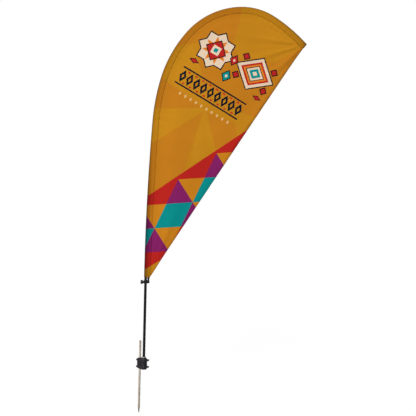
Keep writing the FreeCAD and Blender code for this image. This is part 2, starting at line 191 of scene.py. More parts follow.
# faint facets in the ground colour
layers.append((mm((77, 1752), (193, 1677), (321, 1582), (20, 1574), (-30, 1600), (20, 1760)), AMBER_2))
layers.append((mm((321.5, 1560), (73, 1398), (-40, 1330), (-40, 1030), (20, 1050), (215.6, 1197), (282.5, 1427)), AMBER_2))
layers.append((mm((345.5, 1557), (512, 1500), (530, 1418), (404.6, 1333)), AMBER_2))
layers.append((mm((544, 2240), (541, 2147), (492, 1973), (422, 1949), (309, 1975), (226, 1968), (120, 1942), (-30, 2010), (100, 2230)), AMBER_2))
layers.append((mm((492, 1973), (536, 1884), (656, 1880), (747, 1864), (905, 1962), (1000, 1977), (869, 1700), (694, 1515),
                  (559, 1560), (440, 1650), (330, 1735), (290, 1850), (309, 1975), (422, 1949)), AMBER_2))
layers.append((mm((77, 1752), (193, 1677), (300, 1800), (250, 1960), (150, 1930)), AMBER_3))
layers.append((mm((321, 1582), (10, 1574), (0, 1360), (73, 1398), (321.5, 1560)), AMBER_3))
layers.append((mm((330, 1560), (404.6, 1333), (260, 1240), (282.5, 1427)), AMBER_3))

# the band with a lattice of triangles across the lower half
T0, T1 = np.array([7.1, 1052.2]), np.array([590.2, 1459.2])
B0, B1 = np.array([-5.0, 608.4]), np.array([89.6, 668.2])
top = [T0 + (T1 - T0) * k for k in (-0.12, 1.2)]
low = [B0 + (B1 - B0) * k for k in (2.6, -0.5)]
layers.append((mm(top[0], top[1], low[0], low[1]), RED))
P0, LA, LB = np.array([46.4, 855.7]), np.array([156.9, 13.8]), np.array([68.1, 148.0])


def lat(i, j):
    return P0 + LA * i + LB * j


def tri_up(i, j, colour):     # on the row j, point up
    layers.append((mm(lat(i, j), lat(i + 1, j), lat(i, j + 1)), colour))


def tri_down(i, j, colour):   # under the row j, point down
    layers.append((mm(lat(i, j), lat(i + 1, j), lat(i + 1, j - 1)), colour))


tri_down(0, 2, AMBER_4)
tri_up(0, 1, PURPLE)
tri_down(0, 1, TEAL)
tri_up(0, 0, TEAL)
tri_up(1, 1, TEAL)
tri_down(1, 2, TEAL)
tri_down(1, 3, AMBER_4)
tri_up(1, 2, PURPLE)
tri_down(0, 0, AMBER_4)
tri_up(0, -1, PURPLE)
tri_down(-1, 0, TEAL)
tri_up(-1, 0, PURPLE)
tri_down(-1, 1, AMBER_4)
tri_down(1, 1, AMBER_4)
tri_up(1, 0, PURPLE)

# a generic ornament of stars, lozenges and bars
U = np.array([0.8636, -0.5042])
W = np.array([0.5042, 0.8636])


def local(c, pts):
    return [np.array(c, float) + U * u + W * w for u, w in pts]


def gon(c, r, n, turn=0.0):
    return local(c, [(r * math.cos(math.radians(turn + 360.0 * k / n)),
                      r * math.sin(math.radians(turn + 360.0 * k / n))) for k in range(n)])


def star(c, r0, r1, n, turn=0.0):
    return local(c, [((r0 if k % 2 == 0 else r1) * math.cos(math.radians(turn + 180.0 * k / n)),
                      (r0 if k % 2 == 0 else r1) * math.sin(math.radians(turn + 180.0 * k / n)))
                     for k in range(2 * n)])


def lozenge(c, a, b):
    return local(c, [(a, 0), (0, b), (-a, 0), (0, -b)])


def block(c, a, b, turn=0.0):
    k, m = math.cos(math.radians(turn)), math.sin(math.radians(turn))
    return local(c, [(u * k - w * m, u * m + w * k) for u, w in ((a, b), (-a, b), (-a, -b), (a, -b))])


def nest(shape, c, sizes):
    for r_, colour in sizes:
        layers.append((mm(*shape(c, r_)), colour))


# a star of two overlapping squares, and nested diamonds beside it
C1, C2 = (391.0, 1930.0), (627.0, 1795.0)
for half, colour in ((88, INK), (81, CREAM)):
    for turn in (0.0, 45.0):
        layers.append((mm(*block(C1, half, half, turn)), colour))
layers.append((mm(*star(C1, 84, 46, 8, 22.5)), ORANGE))
nest(lambda c, r_: block(c, r_, r_, 45), C1, ((50, INK), (44, RED)))
nest(lambda c, r_: block(c, r_, r_, 0), C1, ((26, CREAM), (12, TEAL)))
nest(lambda c, r_: lozenge(c, r_, r_ * 0.86), C2,
     ((132, INK), (122, CREAM), (96, RED), (80, ORANGE), (64, INK), (57, CREAM), (40, TEAL), (18, CREAM)))
for u, w in ((-96, 64), (96, 64), (-96, -64), (96, -64)):
    at = tuple(np.array(C2) + U * u + W * w)
    nest(lambda c, r_: block(c, r_, r_, 45), at, ((19, INK), (13, RED)))
nest(lambda c, r_: lozenge(c, r_, r_ * 1.3), (502.0, 1872.0), ((30, INK), (23, RED), (8, CREAM)))
nest(lambda c, r_: lozenge(c, r_, r_ * 1.3), (455.0, 1778.0), ((32, INK), (25, TEAL), (9, CREAM)))
nest(lambda c, r_: lozenge(c, r_, r_ * 0.5), (262.0, 1866.0), ((34, INK), (24, RED)))
nest(lambda c, r_: lozenge(c, r_, r_ * 0.5), (640.0, 1650.0), ((30, INK), (21, RED)))
# a border of tall diamonds between two rails
RAIL = (149.5, 1733.0)
for w0, w1 in ((0, 9), (105, 114)):
    layers.append((mm(*local(RAIL, [(-4, w0), (434, w0), (434, w1), (-4, w1)])), INK))
for k in range(9):
    at = np.array(RAIL) + U * (20.5 + 48.6 * k) + W * 57.0
    layers.append((mm(*lozenge(at, 21.5, 41)), INK))
    layers.append((mm(*lozenge(at, 7.5, 17)), AMBER))
for k in range(8):
    for w_ in (20.0, 94.0):
        at = np.array(RAIL) + U * (44.8 + 48.6 * k) + W * w_
        layers.append((mm(*lozenge(at, 11, 6)), RED))
# and a row of pale ones under it
for k in range(10):
    at = np.array([182.0, 1668.0]) + U * (37.0 * k)
    layers.append((mm(*lozenge(at, 8.0, 12.0)), SAND))


def inside(poly, pts):
    """Which points are inside a polygon."""
    x, z = pts[:, 0], pts[:, 1]
    out = np.zeros(len(pts), bool)
    for k in range(len(poly)):
        x0, z0 = poly[k]
        x1, z1 = poly[(k + 1) % len(poly)]
        if z0 == z1:
            continue
        hit = ((z0 > z) != (z1 > z)) & (x < (x1 - x0) * (z - z0) / (z1 - z0) + x0)
        out ^= hit
    return out


def print_index(pts):
    out = np.zeros(len(pts), int)
    for poly, colour in layers:
        lo, hi = poly.min(0), poly.max(0)
        near = np.nonzero((pts >= lo).all(1) & (pts <= hi).all(1))[0]
        out[near[inside(poly, pts[near])]] = COLOURS.index(colour)
    return out


# ------------------------------------------------------------------ flat triangulation
STEP = 0.0085
N_ROWS = [-OUTER * math.cos(math.radians(t)) for t in (0, 16, 32, 48, 64, 80, 94)] + [0.0032, 0.0085, 0.0145, 0.0205, 0.0258]
columns = int(round((LENGTH + 0.012) / 0.0075))
curve_s = np.linspace(0.0, LENGTH + 0.012, columns)
leech_count = int(round(LEECH_L / 0.0085))
leech_ts = np.linspace(-0.012, 1.02, leech_count)

# where the outer edge and the seam meet the leech
outer_line, seam_line = on_curve(curve_s, -OUTER), on_curve(curve_s, SEAM)
leech_line = on_leech(leech_ts)


def densify(poly, step):
    out = []
    for k in range(len(poly)):
        a_, b_ = poly[k], poly[(k + 1) % len(poly)]
        m = max(1, int(round(np.linalg.norm(b_ - a_) / step)))
        out += [a_ + (b_ - a_) * (i / m) for i in range(m)]
    return np.array(out)


verts, edges = [], []


def add_line(pts, closed=False):
    k0 = len(verts)
    verts.extend([tuple(q) for q in pts])
    n = len(pts)
    edges.extend([(k0 + i, k0 + (i + 1) % n) for i in range(n if closed else n - 1)])


for n_ in N_ROWS:
    add_line(on_curve(curve_s, n_))
add_line(seam_line)
add_line(leech_line)
hem_ts = np.linspace(-0.012, 1.02, leech_count)
add_line(on_leech(hem_ts, HEM))
patch_end = on_leech(np.linspace(0.955, 1.02, 10), PATCH)
add_line(patch_end)
foot = on_curve(np.array([0.0]), 0.0)[0]
add_line(np.array([[x, FOOT_Z] for x in np.linspace(-0.0120, 0.0300, 9)]))
add_line(np.array([[x, FOOT_Z + 0.010] for x in np.linspace(-0.0120, 0.0360, 9)]))
for poly, colour in layers:
    lo, hi = poly.min(0), poly.max(0)
    if hi[0] < -0.02 or lo[0] > 1.0:
        continue
    add_line(densify(poly, 0.009), closed=True)
constrained = len(verts)
line_pts = np.array(verts)

# a hexagonal grid of points over the panel, kept off the lines
grid = []
row = 0
z = 0.550
while z < 2.205:
    xs = np.arange(-0.02 + (STEP / 2 if row % 2 else 0.0), 0.99, STEP)
    grid.append(np.stack([xs, np.full(len(xs), z)], -1))
    z += STEP * math.sqrt(3) / 2
    row += 1
grid = np.concatenate(grid)
gs, gn = to_curve(grid)
panel_poly = np.concatenate([seam_line, [[1.4, 1.9], [1.4, 0.3], [0.0, 0.3]]])
keep = (leech_d(grid) > 0.003) & inside(panel_poly, grid)
grid = grid[keep]


def near_lines(pts, lines, reach):
    """True where a point is nearer than reach to any of the lines' points, using a coarse hash."""
    cell = reach
    taken = {}
    for q in lines:
        taken.setdefault((int(q[0] // cell), int(q[1] // cell)), []).append(q)
    out = np.zeros(len(pts), bool)
    for i, q in enumerate(pts):
        cx, cz = int(q[0] // cell), int(q[1] // cell)
        for dx in (-1, 0, 1):
            for dz in (-1, 0, 1):
                for t in taken.get((cx + dx, cz + dz), ()):
                    if (t[0] - q[0]) ** 2 + (t[1] - q[1]) ** 2 < reach * reach:
                        out[i] = True
                        break
                if out[i]:
                    break
            if out[i]:
                break
    return out


grid = grid[~near_lines(grid, line_pts, STEP * 0.62)]
verts.extend([tuple(q) for q in grid])
res = delaunay_2d_cdt([Vector(v) for v in verts], edges, [], 0, 1e-7, False)
V2 = np.array([(v[0], v[1]) for v in res[0]])
T2 = np.array([f for f in res[2] if len(f) == 3])
area = np.cross(V2[T2[:, 1]] - V2[T2[:, 0]], V2[T2[:, 2]] - V2[T2[:, 0]])
T2[area < 0] = T2[area < 0][:, ::-1]
T2 = T2[np.abs(area) > 1e-12]
mid = V2[T2].mean(1)
ms, mn = to_curve(mid)
whole_poly = np.concatenate([outer_line, [[1.4, 1.9], [1.4, 0.3], [-0.0096, 0.3]]])
ok = inside(whole_poly, mid) & (leech_d(mid) > 0) & (mid[:, 1] > FOOT_Z)
T2, mid, ms, mn = T2[ok], mid[ok], ms[ok], mn[ok]
in_panel = inside(panel_poly, mid)
d_mid = leech_d(mid)
kind = np.where(in_panel, np.where(d_mid < HEM, 2, 1), 0)      # 0 sleeve, 1 panel, 2 hem
colour_of = print_index(mid)
VS, VN = to_curve(V2)
VD, VT = leech_d(V2), leech_t(V2)


# ------------------------------------------------------------------ the cloth's shape
def smooth(x):
    x = np.clip(x, 0, 1)
    return x * x * (3 - 2 * x)


def ripple(pts, scale, seed):
    return np.array([noise.noise(Vector((q[0] * scale + seed, q[1] * scale - seed, seed * 1.7))) for q in pts])


def shape_of(pts, s, n, d, t):
    """How far the middle of the cloth stands from the sail's plane, + to the back."""
    tip, base = np.array([0.924, 1.975]), np.array([0.026, 0.571])
    seam_d = np.clip(n - SEAM, 0, None)
    across = np.clip(seam_d, 0, 1) / (np.clip(seam_d, 0, 1) + np.clip(d, 0, 1) + 1e-6)
    tt = np.clip(t, 0, 1)
    belly = -0.020 * np.sin(np.pi * tt ** 0.9) * np.sin(np.pi * np.clip(across, 0, 1) ** 0.85)
    flutter = 0.011 * np.sin(2 * np.pi * tt * 1.15 + 0.4) * np.sin(np.pi * tt) * across ** 2.2
    v = pts - tip
    r = np.hypot(v[:, 0], v[:, 1])
    ang = np.arctan2(-v[:, 1], -v[:, 0])
    fan = (0.0042 * np.sin(15.0 * ang + 0.5) + 0.0026 * np.sin(27.0 * ang + 2.1 + 1.5 * np.sin(3 * ang)))
    fan = fan * np.exp(-r / 0.30) * smooth(r / 0.09)
    fan = fan + 0.0011 * np.sin(54.0 * ang + 1.2 * np.sin(5 * ang)) * np.exp(-r / 0.17) * smooth(r / 0.05)
    v = pts - base
    r = np.hypot(v[:, 0], v[:, 1])
    ang = np.arctan2(v[:, 1], v[:, 0])
    fan2 = 0.0030 * np.sin(34.0 * ang + 1.0) * np.exp(-r / 0.28) * smooth(r / 0.10)
    pucker_n = 0.5 + 0.5 * np.clip(ripple(np.stack([s, s * 0], -1), 7.0, 3.0) * 2.0, -1, 1)
    bend = smooth((s - 0.55) / 0.45)
    pucker = 0.0017 * bend * pucker_n * np.sin(2 * np.pi * s / 0.043 + 2.2 * np.sin(s * 9.0))
    pucker = pucker * np.exp(-seam_d / 0.050) * smooth((n + 0.001) / 0.020)
    edge = 0.0011 * np.sin(2 * np.pi * tt * LEECH_L / 0.058 + 1.5 * np.sin(tt * 17)) * np.exp(-np.clip(d, 0, 1) / 0.030)
    edge = edge * smooth(tt / 0.04) * smooth((1 - tt) / 0.04)
    broad = 0.0060 * ripple(pts * np.array([1.0, 0.8]), 3.3, 5.0) + 0.0016 * ripple(pts, 11.0, 8.0)
    bow = smooth((s - 1.15) / 0.30) * smooth((LENGTH - 0.10 - s) / 0.25)
    ridge = 0.0016 * bow * np.sin(2 * np.pi * seam_d / 0.062 + 1.1 * np.sin(3.1 * s)) * np.exp(-seam_d / 0.055) * smooth(seam_d / 0.012)
    gather = 0.0005 * np.sin(2 * np.pi * n / 0.0105 + 0.8) * np.exp(-np.clip(s, 0, 9) / 0.050)
    hold = smooth(seam_d / 0.10)
    free = smooth((n + 0.002) / 0.034)
    return ((belly + flutter) * hold + (fan + fan2) * smooth(seam_d / 0.03)
            + broad * hold * smooth(np.minimum(tt, 1 - tt) / 0.10) + (pucker + edge) * free + ridge + gather)


mid_y = shape_of(V2, VS, VN, VD, VT)


def painted_shade_factor(pts, s, n, d, t, on_sleeve):
    """Painted shade on the print: how bright it is at each point, darker as shade on folds, along the rolled outer edge
    and at the tip, and darker towards the foot.
    """
    s, n, d, t = (np.asarray(v, float) for v in (s, n, d, t))
    f = np.ones(len(n))
    if on_sleeve:
        # painted shade: the sleeve darkens towards its rolled outer edge, as a round edge turned from the light, and
        # near its top
        x = np.clip(n + OUTER, 0, 1)
        reach = 0.0210 - 0.0110 * smooth((s - 0.30) / 0.55)
        edge_shade_depth = 0.64 - 0.14 * smooth((s - 0.30) / 0.60) - 0.14 * smooth((s - 1.25) / 0.45) + 0.12 * smooth((s - 2.0) / 0.25)
        f = 0.98 - edge_shade_depth * np.exp(-(x / reach) ** 2) - 0.30 * np.exp(-x / 0.0030)
        f = f * (1.0 - 0.10 * smooth((s - 1.95) / 0.30))
    # painted shade along the leech's hem, stronger in the upper part
    upper = smooth((t - 0.30) / 0.35)
    f = f * (1.0 - (0.02 + 0.10 * upper) * (1 - smooth((d - 0.012) / 0.008)) - (0.10 + 0.24 * upper) * np.exp(-np.clip(d, 0, 1) / 0.0035))
    # darker towards the sail's foot
    f = f * (1.0 - 0.20 * np.exp(-np.clip(s, 0, 9) / 0.045))
    # painted shade at the tip, where the cloth curls
    tip = np.linalg.norm(pts - on_leech(np.array([1.0]))[0], axis=1)
    return np.clip(f * (1.0 - 0.42 * np.exp(-tip / 0.022)), 0.05, 1.0)


def sleeve_half(n):
    """Half the sleeve's thickness at n, on the drop-shaped section of its outer face."""
    r, e, t = OUTER, SEAM, 0.0008
    th = math.atan2(t, e) + math.acos(r / math.hypot(e, t))
    nt, yt = r * math.cos(th), r * math.sin(th)
    n = np.asarray(n, float)
    y = np.sqrt(np.clip(r * r - n * n, 0, None))
    return np.where(n < -OUTER + 0.0001, 0.0, np.where(n < nt, y, yt + (t - yt) * np.clip((n - nt) / (e - nt), 0, 1)))


def mesh_from(name, tris, sides, lift, fold=None, on_sleeve=False):
    """Builds a mesh of the chosen triangles on the chosen sides, with its print, darkened by painted shade, as
    face-corner colours.
    """
    used = np.unique(tris[0])
    index = -np.ones(len(V2), int)
    index[used] = np.arange(len(used))
    vs, fs, cs, shade_per_vertex = [], [], [], []
    # painted shade on the print, one factor per vertex
    painted_shade = painted_shade_factor(V2[used], VS[used], VN[used], VD[used], VT[used], on_sleeve)
    for side in sides:
        shade_per_vertex += list(painted_shade)
        y = mid_y[used] + side * lift(used)
        k0 = len(vs)
        vs += [(V2[i][0] + MAST.x, y[j] + MAST.y, V2[i][1]) for j, i in enumerate(used)]
        f = index[tris[0]] + k0
        fs += [tuple(q) if side < 0 else tuple(q[::-1]) for q in f]
        cs += list(tris[1])
    if fold is not None:
        ring, taper, bulge, colour = fold
        n = len(used)
        steps = 4
        rows_ = []
        for k in range(steps + 1):
            u = -1 + 2 * k / steps
            if k == 0:
                rows_.append([index[i] for i in ring])
            elif k == steps:
                rows_.append([index[i] + n for i in ring])
            else:
                out = bulge * math.sqrt(1 - u * u)
                base = len(vs)
                for i in ring:
                    ease = smooth(np.array([taper(i)]))[0]
                    q = V2[i] + leech_out(V2[i]) * (out * ease)
                    half = lift(np.array([i]))[0]
                    vs.append((q[0] + MAST.x, mid_y[i] + u * half + MAST.y, q[1]))
                    # painted shade on the rolled fold: its print at half brightness
                    shade_per_vertex.append(0.50)
                rows_.append(list(range(base, base + len(ring))))
        for k in range(steps):
            for i in range(len(ring) - 1):
                q = (rows_[k][i], rows_[k][i + 1], rows_[k + 1][i + 1], rows_[k + 1][i])
                if len(set(q)) == 4:
                    fs.append(q)
                    cs.append(colour[i])
    me = bpy.data.meshes.new(name)
    me.from_pydata(vs, [], fs)
    # the print attribute holds the print's colours times the painted shade
    att = me.color_attributes.new("print", "FLOAT_COLOR", "CORNER")
    data = np.ones((len(me.loops), 4), np.float32)
    loops = np.concatenate([np.full(len(f), c) for f, c in zip(fs, cs)]).astype(int)
    corner = np.zeros(len(me.loops), np.int32)
    me.loops.foreach_get("vertex_index", corner)
    data[:, :3] = np.array(COLOURS, np.float32)[loops] * np.array(shade_per_vertex, np.float32)[corner][:, None]
    att.data.foreach_set("color", data.ravel())
    me.polygons.foreach_set("use_smooth", np.ones(len(me.polygons), bool))
    me.validate()
    ob = bpy.data.objects.new(name, me)
    scene.collection.objects.link(ob)
    return ob


def merge(ob, dist):
    import bmesh
    bm = bmesh.new()
    bm.from_mesh(ob.data)
    bmesh.ops.remove_doubles(bm, verts=bm.verts, dist=dist)
    bmesh.ops.recalc_face_normals(bm, faces=bm.faces)
    bm.to_mesh(ob.data)
    bm.free()


# sleeve: both halves, joined along the outer edge
sleeve_t = (T2[kind == 0], colour_of[kind == 0])
lift_sleeve = lambda ids: sleeve_half(VN[ids])
sleeve = mesh_from("pole_sleeve_cloth", sleeve_t, (-1, 1), lift_sleeve, on_sleeve=True)
merge(sleeve, 2e-5)

# panels: from the seam to the leech, front and back
panel_t = (T2[kind >= 1], colour_of[kind >= 1])
flat_lift = lambda ids: np.full(len(ids), 0.00062)
front = mesh_from("front_panel_cloth", panel_t, (-1,), flat_lift)
back = mesh_from("back_panel_cloth", panel_t, (1,), flat_lift)

# hem: folded over the leech
hem_t = (T2[kind == 2], colour_of[kind == 2])
hem_used = np.unique(hem_t[0])
ring = [i for i in hem_used if abs(VD[i]) < 2e-5]
ring.sort(key=lambda i: VT[i])
ring_mid = np.array([(V2[ring[i]] + V2[ring[i + 1]]) / 2 for i in range(len(ring) - 1)])
ring_mid = np.array([q - leech_out(q) * 0.001 for q in ring_mid])
hem_lift = lambda ids: 0.00105 - 0.00035 * smooth((VD[ids] - 0.009) / 0.003)
hem = mesh_from("leech_hem_cloth", hem_t, (-1, 1), hem_lift, (ring, lambda i: min(VT[i] - VT[ring[0]], VT[ring[-1]] - VT[i]) * LEECH_L / 0.030 + 0.3, 0.0012, print_index(ring_mid)))
merge(hem, 1e-6)

# patch at the tip: over the sleeve's end, closed along the leech
tip_sel = (kind == 0) & (d_mid < PATCH) & (leech_t(mid) > 0.9)
tip_t = (T2[tip_sel], colour_of[tip_sel])
tip_used = np.unique(tip_t[0])
tip_ring = [i for i in tip_used if abs(VD[i]) < 2e-5]
tip_ring.sort(key=lambda i: VN[i])
tip_mid = np.array([(V2[tip_ring[i]] + V2[tip_ring[i + 1]]) / 2 for i in range(len(tip_ring) - 1)])
tip_mid = np.array([q - leech_out(q) * 0.001 for q in tip_mid])
tip_lift = lambda ids: sleeve_half(VN[ids]) + 0.0006
patch = mesh_from("tip_pocket_cloth", tip_t, (-1, 1), tip_lift,
                  (tip_ring, lambda i: (SEAM - VN[i]) / 0.022 + 0.15, 0.0022, print_index(tip_mid)), on_sleeve=True)
merge(patch, 1e-6)
print("cloth", len(sleeve.data.vertices), len(front.data.vertices), len(hem.data.vertices), len(patch.data.vertices))


# ------------------------------------------------------------------ stitches and the strap
def thread(name, paths, length, radius):
    """Short stitches as small capsules: paths is a list of (points, normals)."""
    vs, fs = [], []
    for pts, nrm in paths:
        seg = np.linalg.norm(np.diff(pts, axis=0), axis=1)
        cum = np.concatenate([[0], np.cumsum(seg)])
        total, pitch = cum[-1], length * 1.45
        for k in range(int(total / pitch)):
            c = (k + 0.5) * pitch
            i = min(int(np.searchsorted(cum, c)) - 1, len(seg) - 1)
            i = max(i, 0)
            f = (c - cum[i]) / max(seg[i], 1e-9)
            o = Vector(pts[i] + (pts[i + 1] - pts[i]) * f)
            tdir = Vector(pts[i + 1] - pts[i]).normalized()
            ndir = Vector(nrm[i]).normalized()
            side = tdir.cross(ndir).normalized()
            k0 = len(vs)
            for a_, w_ in ((-0.5, 0.35), (-0.34, 1.0), (0.34, 1.0), (0.5, 0.35)):
                rise = radius * (0.6 if abs(a_) < 0.4 else -0.5)
                for q in range(5):
                    ang = 2 * math.pi * q / 5
                    vs.append(o + tdir * (a_ * length) + ndir * rise
                              + (side * math.cos(ang) + ndir * math.sin(ang)) * radius * w_)
            for r_ in range(3):
                for q in range(5):
                    fs.append((k0 + r_ * 5 + q, k0 + r_ * 5 + (q + 1) % 5,
                               k0 + (r_ + 1) * 5 + (q + 1) % 5, k0 + (r_ + 1) * 5 + q))
            fs.append(tuple(k0 + q for q in range(5))[::-1])
            fs.append(tuple(k0 + 15 + q for q in range(5)))
    me = bpy.data.meshes.new(name)
    me.from_pydata([tuple(v) for v in vs], [], fs)
    middles = np.array([(v.x - MAST.x, v.z) for v in vs]).reshape(-1, 20, 2).mean(1)
    att = me.color_attributes.new("print", "FLOAT_COLOR", "POINT")
    data = np.ones((len(vs), 4), np.float32)
    # painted shade on the stitches: their print colour, darker along the seam line towards the top
    stitch_shade = 0.97 - 0.11 * smooth((middles[:, 1] - 0.80) / 0.55)[:, None]
    data[:, :3] = np.repeat(np.array(COLOURS, np.float32)[print_index(middles)] * stitch_shade, 20, axis=0)
    att.data.foreach_set("color", data.ravel())
    me.polygons.foreach_set("use_smooth", np.ones(len(me.polygons), bool))
    ob = bpy.data.objects.new(name, me)
    scene.collection.objects.link(ob)
    return ob


def cloth_line(plan, side, lift):
    """A line on the cloth's face, from plan points."""
    s_, n_ = to_curve(plan)
    y = shape_of(plan, s_, n_, leech_d(plan), leech_t(plan)) + side * lift(plan, s_, n_)
    pts = np.stack([plan[:, 0] + MAST.x, y + MAST.y, plan[:, 1]], -1)
    return pts, np.tile(np.array([0.0, side, 0.0]), (len(pts), 1))


seam_paths, hem_paths = [], []
for side in (-1, 1):
    for n_ in (0.0285, 0.0245):
        ss = np.linspace(0.004, LENGTH, 640)
        plan = on_curve(ss, n_)
        plan = plan[leech_d(plan) > 0.002]
        seam_paths.append(cloth_line(plan, side, lambda q, s_, n_: sleeve_half(n_)))
    plan = on_leech(np.linspace(0.004, 0.985, 480), 0.0095)
    s_, n_ = to_curve(plan)
    plan = plan[inside(panel_poly, plan)]
    hem_paths.append(cloth_line(plan, side, lambda q, s_, n_: np.full(len(q), 0.00100)))
seam_thread = thread("seam_stitches", seam_paths, 0.0034, 0.00030)
hem_thread = thread("hem_stitches", hem_paths, 0.0034, 0.00030)

# the strap: two plies of webbing round the collar's peg and up to the sail's corner
PEG_Z = 0.533
LOOP_R = 0.0073
STRAP_IN = ((0.0114, 0.520), (0.0114, 0.548), (0.0096, 0.554), (0.0096, 0.564))
STRAP_OUT = ((0.0210, 0.520), (0.0210, 0.5415), (0.02496, 0.564))
prof = []
for k in range(13):
    t = math.pi * k / 12
    prof.append((-math.cos(t) * LOOP_R, PEG_Z - math.sin(t) * LOOP_R))
ply = []
for k in range(1, 17):
    f = k / 16
    ply.append((LOOP_R + (0.0011 - LOOP_R) * smooth(np.array([f]))[0], PEG_Z + (0.5612 - PEG_Z) * f))
line = [(-y, z_) for y, z_ in ply[::-1]] + prof + ply
vs, fs = [], []
across_n = 10
for y, z_ in line:
    x0 = float(np.interp(z_, [q[1] for q in STRAP_IN], [q[0] for q in STRAP_IN]))
    x1 = float(np.interp(z_, [q[1] for q in STRAP_OUT], [q[0] for q in STRAP_OUT]))
    pinch = 1 - smooth(np.array([(z_ - 0.540) / 0.016]))[0]
    for k in range(across_n + 1):
        f = k / across_n
        crimp = 0.00035 * pinch * math.sin(f * math.pi * 5) * (1 if y > 0 else -1)
        vs.append((MAST.x + x0 + (x1 - x0) * f, MAST.y + y + crimp, z_))
for i in range(len(line) - 1):
    for k in range(across_n):
        q = i * (across_n + 1) + k
        fs.append((q, q + 1, q + across_n + 2, q + across_n + 1))
me = bpy.data.meshes.new("tension_strap_web")
me.from_pydata(vs, [], fs)
me.polygons.foreach_set("use_smooth", np.ones(len(me.polygons), bool))
strap = bpy.data.objects.new("tension_strap_web", me)
scene.collection.objects.link(strap)
mod = strap.modifiers.new("thickness", "SOLIDIFY")
mod.thickness, mod.offset = 0.0011, 0.0


# ------------------------------------------------------------------ materials
class Nodes:
    def __init__(self, name):
        self.mat = bpy.data.materials.new(name)
        self.mat.use_nodes = True
        self.t = self.mat.node_tree
        self.bsdf = self.t.nodes["Principled BSDF"]

    def new(self, kind, **sockets):
        n = self.t.nodes.new(kind)
        for k, v in sockets.items():
            setattr(n, k, v)
        return n

    def link(self, a, b):
        self.t.links.new(a, b)

    def coords(self, scale=(1, 1, 1), rotation=(0, 0, 0)):
        tc = self.new("ShaderNodeTexCoord")
        mp = self.new("ShaderNodeMapping")
        mp.inputs["Scale"].default_value = scale
        mp.inputs["Rotation"].default_value = rotation
        self.link(tc.outputs["Object"], mp.inputs["Vector"])
        return mp.outputs["Vector"]

    def noise(self, scale, vector, detail=3.0, rough=0.55):
        n = self.new("ShaderNodeTexNoise")
        n.inputs["Scale"].default_value = scale
        n.inputs["Detail"].default_value = detail
        n.inputs["Roughness"].default_value = rough
        self.link(vector, n.inputs["Vector"])
        return n.outputs["Fac"]

    def ramp(self, fac, lo, hi, a_, b_):
        n = self.new("ShaderNodeMapRange")
        n.inputs["From Min"].default_value, n.inputs["From Max"].default_value = lo, hi
        n.inputs["To Min"].default_value, n.inputs["To Max"].default_value = a_, b_
        self.link(fac, n.inputs["Value"])
        return n.outputs["Result"]

    def math(self, op, a_, b_=None):
        n = self.new("ShaderNodeMath", operation=op)
        for i, v in enumerate((a_, b_)):
            if v is None:
                continue
            if isinstance(v, (int, float)):
                n.inputs[i].default_value = v
            else:
                self.link(v, n.inputs[i])
        return n.outputs[0]

    def mix(self, fac, a_, b_, blend="MIX"):
        n = self.new("ShaderNodeMix", data_type="RGBA", blend_type=blend)
        for sock, v in ((n.inputs[0], fac), (n.inputs[6], a_), (n.inputs[7], b_)):
            if isinstance(v, (int, float)):
                sock.default_value = v
            elif isinstance(v, tuple):
                sock.default_value = (*v, 1.0) if len(v) == 3 else v
            else:
                self.link(v, sock)
        return n.outputs[2]

    def bump(self, height, distance, strength, normal=None):
        n = self.new("ShaderNodeBump")
        n.inputs["Distance"].default_value = distance
        n.inputs["Strength"].default_value = strength
        self.link(height, n.inputs["Height"])
        if normal is not None:
            self.link(normal, n.inputs["Normal"])
        return n.outputs["Normal"]

    def set(self, **values):
        for k, v in values.items():
            self.bsdf.inputs[k.replace("_", " ")].default_value = v

    def to(self, socket, out):
        self.link(out, self.bsdf.inputs[socket])


def cloth_material(name):
    m = Nodes(name)
    v = m.coords()
    # the print attribute carries the print's colours with painted shade multiplied in
    colour = m.new("ShaderNodeAttribute", attribute_name="print").outputs["Color"]
    big = m.noise(6.0, v, 3.0)
    fine = m.noise(900.0, v, 2.0)
    shade = m.ramp(big, 0.3, 0.7, 0.96, 1.03)
    shade2 = m.ramp(fine, 0.25, 0.75, 0.93, 1.05)
    both = m.math("MULTIPLY", shade, shade2)
    grey = m.new("ShaderNodeCombineColor")
    for k in range(3):
        m.link(both, grey.inputs[k])
    m.to("Base Color", m.mix(1.0, colour, grey.outputs[0], "MULTIPLY"))
    # knitted loops: two sets of fine ribs in the sail's plane
    waves = []
    for rotation in ((0, math.radians(55), 0), (0, math.radians(-35), 0)):
        w = m.new("ShaderNodeTexWave", wave_type="BANDS", bands_direction="X", wave_profile="SIN")
        w.inputs["Scale"].default_value = 1.0
        w.inputs["Distortion"].default_value = 0.6
        w.inputs["Detail"].default_value = 1.0
        m.link(m.coords((330, 330, 330), rotation), w.inputs["Vector"])
        waves.append(w.outputs["Fac"])
    weave = m.math("MULTIPLY", waves[0], waves[1])
    crease = m.noise(38.0, m.coords((1.0, 1.0, 1.0)), 4.0, 0.6)
    n1 = m.bump(crease, 0.004, 0.16)
    m.to("Normal", m.bump(weave, 0.0004, 0.35, n1))
    m.to("Roughness", m.ramp(fine, 0.2, 0.8, 0.62, 0.80))
    m.set(Specular_IOR_Level=0.03)
    return m.mat


